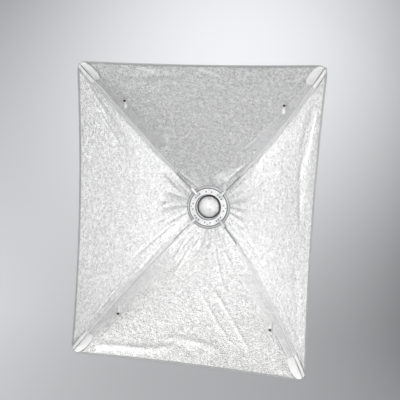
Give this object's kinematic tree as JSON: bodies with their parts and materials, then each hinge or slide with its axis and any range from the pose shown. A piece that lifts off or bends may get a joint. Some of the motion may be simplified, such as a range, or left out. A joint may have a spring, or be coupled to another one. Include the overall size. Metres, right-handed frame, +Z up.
{
  "type": "studio softbox light",
  "caption": "Rectangular studio softbox with silver lining on a bayonet speed ring, mounted on a lamp head with a tilting stand bracket.",
  "frame": {"origin": "centre of the stand socket's mouth, at the bottom of the bracket", "axes": "+Z up the stand, -Y the way the light shines, +X to the right when the open side is looked into"},
  "size_m": [0.8228, 0.6252, 1.0194],
  "materials": {
    "silver_cloth": "silver lining inside, black coated cloth outside",
    "sleeve_cloth": "silver coated cloth",
    "binding_tape": "woven grey tape",
    "black_band": "woven black tape",
    "elastic": "covered elastic",
    "white_tape": "white tape",
    "dark_snap": "dark press studs",
    "spring_steel": "drawn steel rod",
    "silver_aluminium": "satin anodised",
    "zinc_steel": "zinc plated",
    "black_metal": "fine black powder coat",
    "friction_fibre": "pressed fibre",
    "housing_plastic": "fine grain",
    "grip_plastic": "smooth matt",
    "button_plastic": "gloss",
    "rocker_plastic": "gloss red",
    "display": "dark window",
    "sensor": "dark red lens",
    "brass": "bright",
    "board": "green laminate",
    "capacitor": "sleeved can",
    "fan_plastic": "black",
    "lamp_ceramic": "white",
    "polished": "polished",
    "frosted_glass": "frosted",
    "tube_glass": "clear"
  },
  "bodies": {
    "bracket": {"stand_bracket": "black_metal"},
    "head": {"tilt_lug": "black_metal", "tilt_bolt": "zinc_steel", "friction_washers": "friction_fibre", "front_casting": "black_metal", "housing_upper": "housing_plastic", "housing_lower": "housing_plastic", "rear_panel": "housing_plastic", "socket_plate": "housing_plastic", "panel_screws": "zinc_steel", "handle": "grip_plastic", "display_window": "display", "switch_bezel": "grip_plastic", "power_inlet": "grip_plastic", "inlet_pins": "brass", "fuse_cap": "grip_plastic", "sync_socket": "brass", "slave_sensor": "sensor", "main_board": "board", "capacitors": "capacitor", "fan_frame": "fan_plastic", "lamp_base": "lamp_ceramic", "reflector_dish": "polished", "flash_tube": "tube_glass", "modelling_bulb": "tube_glass", "glass_dome": "frosted_glass", "dome_ring": "black_metal", "bayonet_adapter": "silver_aluminium"},
    "softbox": {"ring_plate": "silver_aluminium", "ring_rotor": "silver_aluminium", "plate_screws": "zinc_steel", "holder_screws": "zinc_steel", "rod_holders": "silver_aluminium", "rod_upper_right": "spring_steel", "rod_upper_left": "spring_steel", "rod_lower_left": "spring_steel", "rod_lower_right": "spring_steel", "rod_sleeves": "sleeve_cloth", "corner_pockets": "sleeve_cloth", "panel_top": "silver_cloth", "panel_bottom": "silver_cloth", "panel_left": "silver_cloth", "panel_right": "silver_cloth", "edge_binding": "binding_tape", "diffuser_tabs": "white_tape", "tab_studs": "dark_snap", "neck_band": "black_band", "neck_elastic": "elastic"},
    "tilt_lever": {"tilt_lever": "grip_plastic"},
    "spigot_knob": {"spigot_knob": "grip_plastic"},
    "umbrella_knob": {"umbrella_knob": "grip_plastic"},
    "bayonet_latch": {"bayonet_latch": "black_metal"},
    "ring_lock_knob": {"ring_lock_knob": "grip_plastic"},
    "power_dial": {"power_dial": "grip_plastic"},
    "test_button": {"test_button": "button_plastic"},
    "lamp_button": {"lamp_button": "button_plastic"},
    "slave_button": {"slave_button": "button_plastic"},
    "power_switch": {"power_switch": "rocker_plastic"},
    "fan_rotor": {"fan_rotor": "fan_plastic"}
  },
  "joints": [
    {"name": "head_tilt", "type": "hinge", "parent": "bracket", "child": "head", "pos_m": [0, 0, 0.085], "axis": [1, 0, 0], "range_deg": [-80, 40]},
    {"name": "ring_turn", "type": "hinge", "parent": "head", "child": "softbox", "pos_m": [0, -0.092, 0.18], "axis": [0, 1, 0], "continuous": true},
    {"name": "lever_turn", "type": "hinge", "parent": "head", "child": "tilt_lever", "pos_m": [0.023, 0, 0.085], "axis": [1, 0, 0], "range_deg": [-75, 15]},
    {"name": "spigot_knob_turn", "type": "hinge", "parent": "bracket", "child": "spigot_knob", "pos_m": [-0.03, 0, 0.02], "axis": [1, 0, 0], "continuous": true},
    {"name": "umbrella_knob_turn", "type": "hinge", "parent": "bracket", "child": "umbrella_knob", "pos_m": [-0.015, 0, 0.057], "axis": [1, 0, 0], "continuous": true},
    {"name": "latch_slide", "type": "slide", "parent": "head", "child": "bayonet_latch", "axis": [0, 1, 0], "range_m": [0, 0.006], "stiffness_N_per_m": 300, "springref_m": -0.004},
    {"name": "ring_lock_turn", "type": "hinge", "parent": "head", "child": "ring_lock_knob", "pos_m": [0.04, -0.08, 0.24928], "axis": [0, 1, 0], "continuous": true},
    {"name": "dial_turn", "type": "hinge", "parent": "head", "child": "power_dial", "pos_m": [0, 0.134, 0.182], "axis": [0, 1, 0], "continuous": true},
    {"name": "test_button_press", "type": "slide", "parent": "head", "child": "test_button", "axis": [0, -1, 0], "range_m": [0, 0.0015], "stiffness_N_per_m": 500, "springref_m": -0.001},
    {"name": "lamp_button_press", "type": "slide", "parent": "head", "child": "lamp_button", "axis": [0, -1, 0], "range_m": [0, 0.0015], "stiffness_N_per_m": 500, "springref_m": -0.001},
    {"name": "slave_button_press", "type": "slide", "parent": "head", "child": "slave_button", "axis": [0, -1, 0], "range_m": [0, 0.0015], "stiffness_N_per_m": 500, "springref_m": -0.001},
    {"name": "switch_rock", "type": "hinge", "parent": "head", "child": "power_switch", "pos_m": [0.012, 0.133, 0.142], "axis": [1, 0, 0], "range_deg": [0, 16]},
    {"name": "fan_spin", "type": "hinge", "parent": "head", "child": "fan_rotor", "pos_m": [0, 0.103, 0.207], "axis": [0, 1, 0], "continuous": true}
  ]
}
